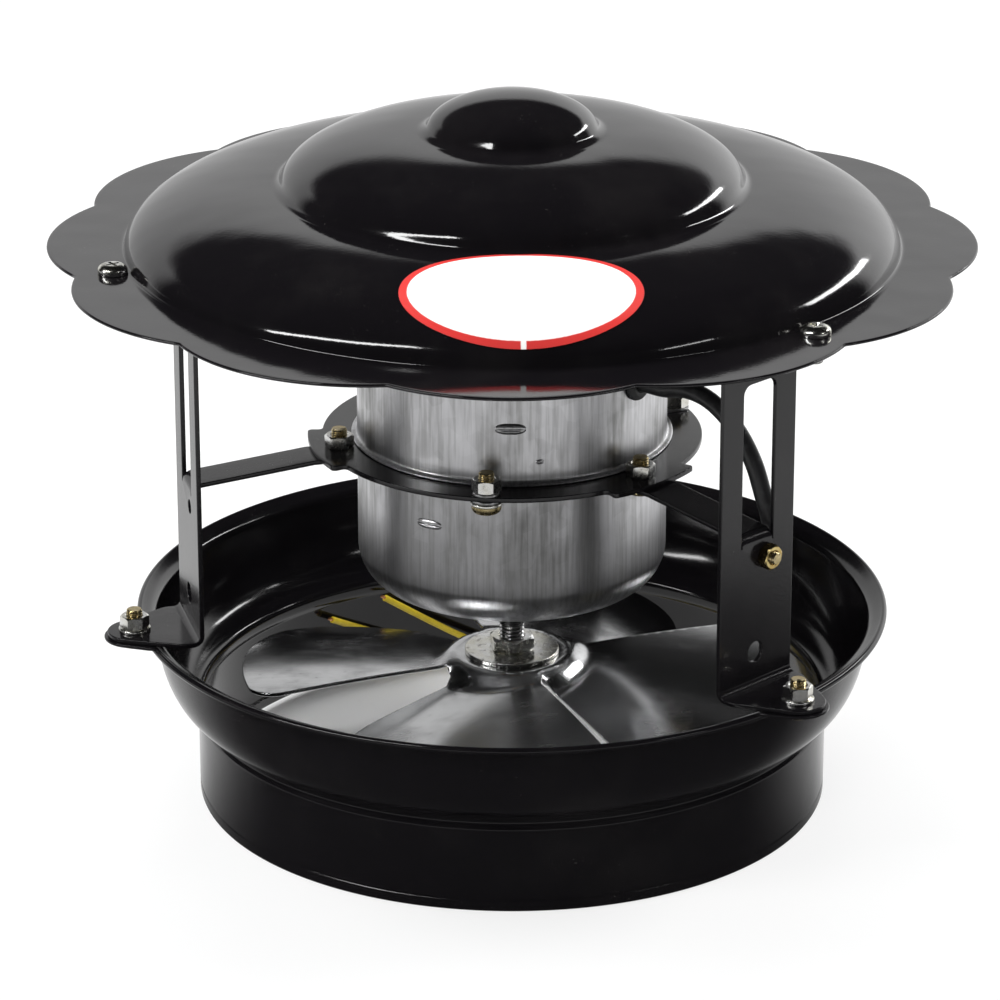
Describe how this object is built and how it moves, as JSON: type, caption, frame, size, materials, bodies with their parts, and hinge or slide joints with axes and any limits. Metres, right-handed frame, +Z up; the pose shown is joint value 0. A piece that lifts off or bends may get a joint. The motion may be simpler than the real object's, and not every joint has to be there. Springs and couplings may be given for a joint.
{
  "type": "chimney draught fan",
  "caption": "Black round chimney draught fan with a stepped scalloped cap on three slotted struts, a hanging silver motor and a pressed aluminium propeller.",
  "frame": {"origin": "centre of the flue collar's lower edge, in the plane it rests on", "axes": "+Z up along the fan's axis, -Y towards the front, where the oval label is"},
  "size_m": [0.287, 0.287, 0.2279],
  "materials": {
    "black_paint": "gloss",
    "plated_steel": "satin",
    "gold_plated_steel": "satin",
    "can_metal": "satin",
    "core_steel": "matt",
    "winding_wire": "gloss",
    "bush_bronze": "satin",
    "rotor_aluminium": "satin",
    "shaft_steel": "gloss",
    "thrust_plastic": "matt",
    "blade_aluminium": "satin",
    "black_rubber": "matt",
    "cable_jacket": "satin",
    "yellow_jacket": "satin",
    "label_film": "gloss"
  },
  "bodies": {
    "frame": {"bowl": "black_paint", "cap": "black_paint", "strut_left": "black_paint", "strut_right": "black_paint", "strut_rear": "black_paint", "rim_screws": "plated_steel", "rim_washers": "plated_steel", "rim_nuts": "plated_steel", "cap_screws": "plated_steel", "cap_nuts": "plated_steel", "motor_ring": "black_paint", "upper_can": "can_metal", "lower_can": "can_metal", "arm_screws": "plated_steel", "arm_nuts": "plated_steel", "can_screws": "plated_steel", "can_washers": "plated_steel", "can_nuts": "plated_steel", "stator_core": "core_steel", "windings": "winding_wire", "upper_bush": "bush_bronze", "lower_bush": "bush_bronze", "grommet": "black_rubber", "cable": "cable_jacket", "lead_long": "yellow_jacket", "lead_short": "yellow_jacket", "cable_clip": "plated_steel", "clip_screw": "plated_steel", "clip_nut": "gold_plated_steel", "label": "label_film"},
    "rotor": {"rotor_core": "rotor_aluminium", "shaft": "shaft_steel", "thrust_washers": "thrust_plastic", "hub_washers": "plated_steel", "hub_nuts": "plated_steel", "propeller": "blade_aluminium"}
  },
  "joints": [
    {"name": "fan_spin", "type": "hinge", "parent": "frame", "child": "rotor", "pos_m": [0, 0, 0.1], "axis": [0, 0, 1], "continuous": true}
  ]
}
